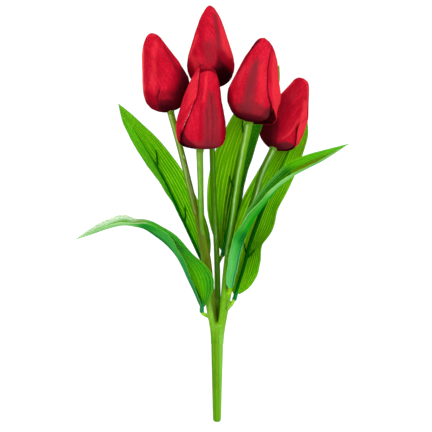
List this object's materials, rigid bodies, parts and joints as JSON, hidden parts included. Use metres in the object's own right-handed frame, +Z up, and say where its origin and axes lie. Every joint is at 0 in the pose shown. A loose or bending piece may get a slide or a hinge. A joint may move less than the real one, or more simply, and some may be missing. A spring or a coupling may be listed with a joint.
{
  "type": "artificial tulip bunch",
  "caption": "Bunch of artificial tulips: closed red fabric flowers and green fabric leaves on wired plastic stems that branch from one moulded trunk.",
  "frame": {"origin": "centre of the small flat on the trunk's lower end", "axes": "+Z up the trunk towards the flowers, +X to the viewer's right in the picture's view, +Y away from the viewer"},
  "size_m": [0.2267, 0.111, 0.3525],
  "materials": {
    "trunk_green": "semi-gloss moulded polyethylene, bright yellow-green",
    "stem_green": "glossy polyethylene sleeve, olive green",
    "wire_steel": "drawn galvanised steel wire",
    "foot_green": "semi-gloss moulded polyethylene",
    "petal_red": "printed polyester satin, red with darker maroon foot",
    "petal_inner_red": "printed polyester satin, deeper red",
    "core_foam": "expanded polystyrene foam, off-white",
    "leaf_fabric": "printed polyester satin, green with fine parallel veins",
    "leaf_rib": "glossy moulded polyethylene, dark green"
  },
  "bodies": {
    "root": {"main_stem": "trunk_green"},
    "stem_1": {"stem_tube_1": "stem_green", "stem_wire_1": "wire_steel"},
    "foot_1": {"receptacle_1": "foot_green"},
    "flower_1": {"bud_core_1": "core_foam", "inner_petals_1": "petal_inner_red", "outer_petal_1a": "petal_red", "outer_petal_1b": "petal_red", "outer_petal_1c": "petal_red"},
    "stem_2": {"stem_tube_2": "stem_green", "stem_wire_2": "wire_steel"},
    "foot_2": {"receptacle_2": "foot_green"},
    "flower_2": {"bud_core_2": "core_foam", "inner_petals_2": "petal_inner_red", "outer_petal_2a": "petal_red", "outer_petal_2b": "petal_red", "outer_petal_2c": "petal_red"},
    "stem_3": {"stem_tube_3": "stem_green", "stem_wire_3": "wire_steel"},
    "foot_3": {"receptacle_3": "foot_green"},
    "flower_3": {"bud_core_3": "core_foam", "inner_petals_3": "petal_inner_red", "outer_petal_3a": "petal_red", "outer_petal_3b": "petal_red", "outer_petal_3c": "petal_red"},
    "stem_4": {"stem_tube_4": "stem_green", "stem_wire_4": "wire_steel"},
    "foot_4": {"receptacle_4": "foot_green"},
    "flower_4": {"bud_core_4": "core_foam", "inner_petals_4": "petal_inner_red", "outer_petal_4a": "petal_red", "outer_petal_4b": "petal_red", "outer_petal_4c": "petal_red"},
    "stem_5": {"stem_tube_5": "stem_green", "stem_wire_5": "wire_steel"},
    "foot_5": {"receptacle_5": "foot_green"},
    "flower_5": {"bud_core_5": "core_foam", "inner_petals_5": "petal_inner_red", "outer_petal_5a": "petal_red", "outer_petal_5b": "petal_red", "outer_petal_5c": "petal_red"},
    "leaf_1": {"leaf_blade_1": "leaf_fabric", "leaf_spine_1": "leaf_rib"},
    "leaf_2": {"leaf_blade_2": "leaf_fabric", "leaf_spine_2": "leaf_rib"},
    "leaf_3": {"leaf_blade_3": "leaf_fabric", "leaf_spine_3": "leaf_rib"},
    "leaf_4": {"leaf_blade_4": "leaf_fabric", "leaf_spine_4": "leaf_rib"},
    "leaf_5": {"leaf_blade_5": "leaf_fabric", "leaf_spine_5": "leaf_rib"}
  },
  "joints": [
    {"name": "stem_1_bend", "type": "hinge", "parent": "root", "child": "stem_1", "pos_m": [-0.01878, -0.0042, 0.18127], "axis": [0, -0.9987, -0.0502], "range_deg": [-2, 25]},
    {"name": "stem_2_bend", "type": "hinge", "parent": "root", "child": "stem_2", "pos_m": [-0.00194, 0.0055, 0.17162], "axis": [0.9922, 0.1191, 0.0379], "range_deg": [-3, 10]},
    {"name": "stem_3_bend", "type": "hinge", "parent": "root", "child": "stem_3", "pos_m": [-0.01244, -0.0096, 0.16371], "axis": [0.9946, -0.0995, 0.0311], "range_deg": [-2, 25]},
    {"name": "stem_4_bend", "type": "hinge", "parent": "root", "child": "stem_4", "pos_m": [0.00947, -0.0039, 0.14689], "axis": [0.9625, 0.2406, -0.1255], "range_deg": [-3, 20]},
    {"name": "stem_5_bend", "type": "hinge", "parent": "root", "child": "stem_5", "pos_m": [0.01802, 0.0062, 0.14582], "axis": [0.0486, 0.9724, -0.2282], "range_deg": [-1, 18]},
    {"name": "foot_1_pull", "type": "slide", "parent": "stem_1", "child": "foot_1", "axis": [-0.223, 0.1086, 0.9687], "range_m": [0, 0.012]},
    {"name": "foot_2_pull", "type": "slide", "parent": "stem_2", "child": "foot_2", "axis": [-0.0123, 0.0848, 0.9963], "range_m": [0, 0.012]},
    {"name": "foot_3_pull", "type": "slide", "parent": "stem_3", "child": "foot_3", "axis": [0.0764, -0.1943, 0.978], "range_m": [0, 0.012]},
    {"name": "foot_4_pull", "type": "slide", "parent": "stem_4", "child": "foot_4", "axis": [0.1536, -0.1215, 0.9806], "range_m": [0, 0.012]},
    {"name": "foot_5_pull", "type": "slide", "parent": "stem_5", "child": "foot_5", "axis": [0.3668, 0.2486, 0.8965], "range_m": [0, 0.012]},
    {"name": "flower_1_turn", "type": "hinge", "parent": "foot_1", "child": "flower_1", "pos_m": [-0.03894, -0.0084, 0.26103], "axis": [-0.223, 0.1086, 0.9687], "continuous": true},
    {"name": "flower_2_turn", "type": "hinge", "parent": "foot_2", "child": "flower_2", "pos_m": [-0.00501, 0.013, 0.28241], "axis": [-0.0123, 0.0848, 0.9963], "continuous": true},
    {"name": "flower_3_turn", "type": "hinge", "parent": "foot_3", "child": "flower_3", "pos_m": [-0.01395, -0.024, 0.22913], "axis": [0.0764, -0.1943, 0.978], "continuous": true},
    {"name": "flower_4_turn", "type": "hinge", "parent": "foot_4", "child": "flower_4", "pos_m": [0.02685, -0.0175, 0.25166], "axis": [0.1536, -0.1215, 0.9806], "continuous": true},
    {"name": "flower_5_turn", "type": "hinge", "parent": "foot_5", "child": "flower_5", "pos_m": [0.04866, 0.03, 0.23185], "axis": [0.3668, 0.2486, 0.8965], "continuous": true},
    {"name": "leaf_1_bend", "type": "hinge", "parent": "root", "child": "leaf_1", "pos_m": [-0.00893, 0.0026, 0.12601], "axis": [-0.8135, -0.5264, -0.2474], "range_deg": [-2, 22]},
    {"name": "leaf_2_bend", "type": "hinge", "parent": "root", "child": "leaf_2", "pos_m": [-0.01273, -0.0056, 0.09384], "axis": [0.9172, -0.2752, 0.2882], "range_deg": [-2, 20]},
    {"name": "leaf_3_bend", "type": "hinge", "parent": "root", "child": "leaf_3", "pos_m": [0.00475, 0.0085, 0.14052], "axis": [-0.7709, -0.5782, 0.2671], "range_deg": [-2, 15]},
    {"name": "leaf_4_bend", "type": "hinge", "parent": "root", "child": "leaf_4", "pos_m": [0.01476, 0.003, 0.10339], "axis": [-0.8881, 0.4441, 0.1187], "range_deg": [0, 20]},
    {"name": "leaf_5_bend", "type": "hinge", "parent": "root", "child": "leaf_5", "pos_m": [0.01064, -0.005, 0.11173], "axis": [0.9188, 0.3216, -0.2291], "range_deg": [-2, 20]}
  ]
}
